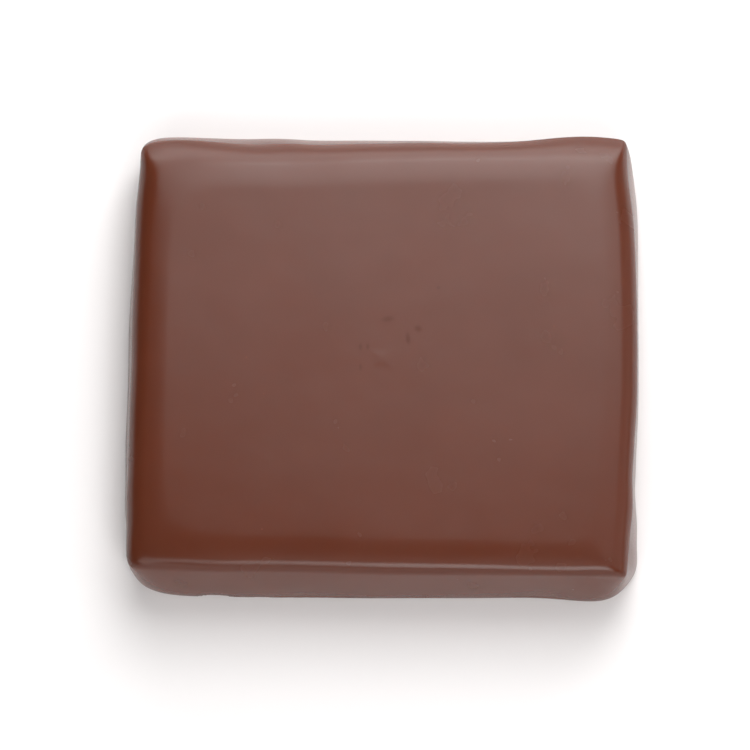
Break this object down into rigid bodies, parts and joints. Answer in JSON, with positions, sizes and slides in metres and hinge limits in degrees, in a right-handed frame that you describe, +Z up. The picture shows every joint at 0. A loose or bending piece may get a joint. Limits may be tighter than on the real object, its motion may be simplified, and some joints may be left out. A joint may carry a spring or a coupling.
{
  "type": "chocolate bonbon",
  "caption": "Thin milk chocolate square with a nearly flat top, rolled edges, crisp rim corners and low rounded walls, solid and uncut",
  "frame": {"origin": "middle of the bounding box in plan, on the flat base", "axes": "+Z up out of the top, +X to the right along the longer plan side, front at -Y"},
  "size_m": [0.0322, 0.0296, 0.0054],
  "materials": {
    "milk_chocolate": "milk chocolate brown, satin to semi-gloss skin with soft wide highlights, fine specks and faint unevenness"
  },
  "bodies": {
    "root": {"bonbon": "milk_chocolate"}
  },
  "joints": []
}
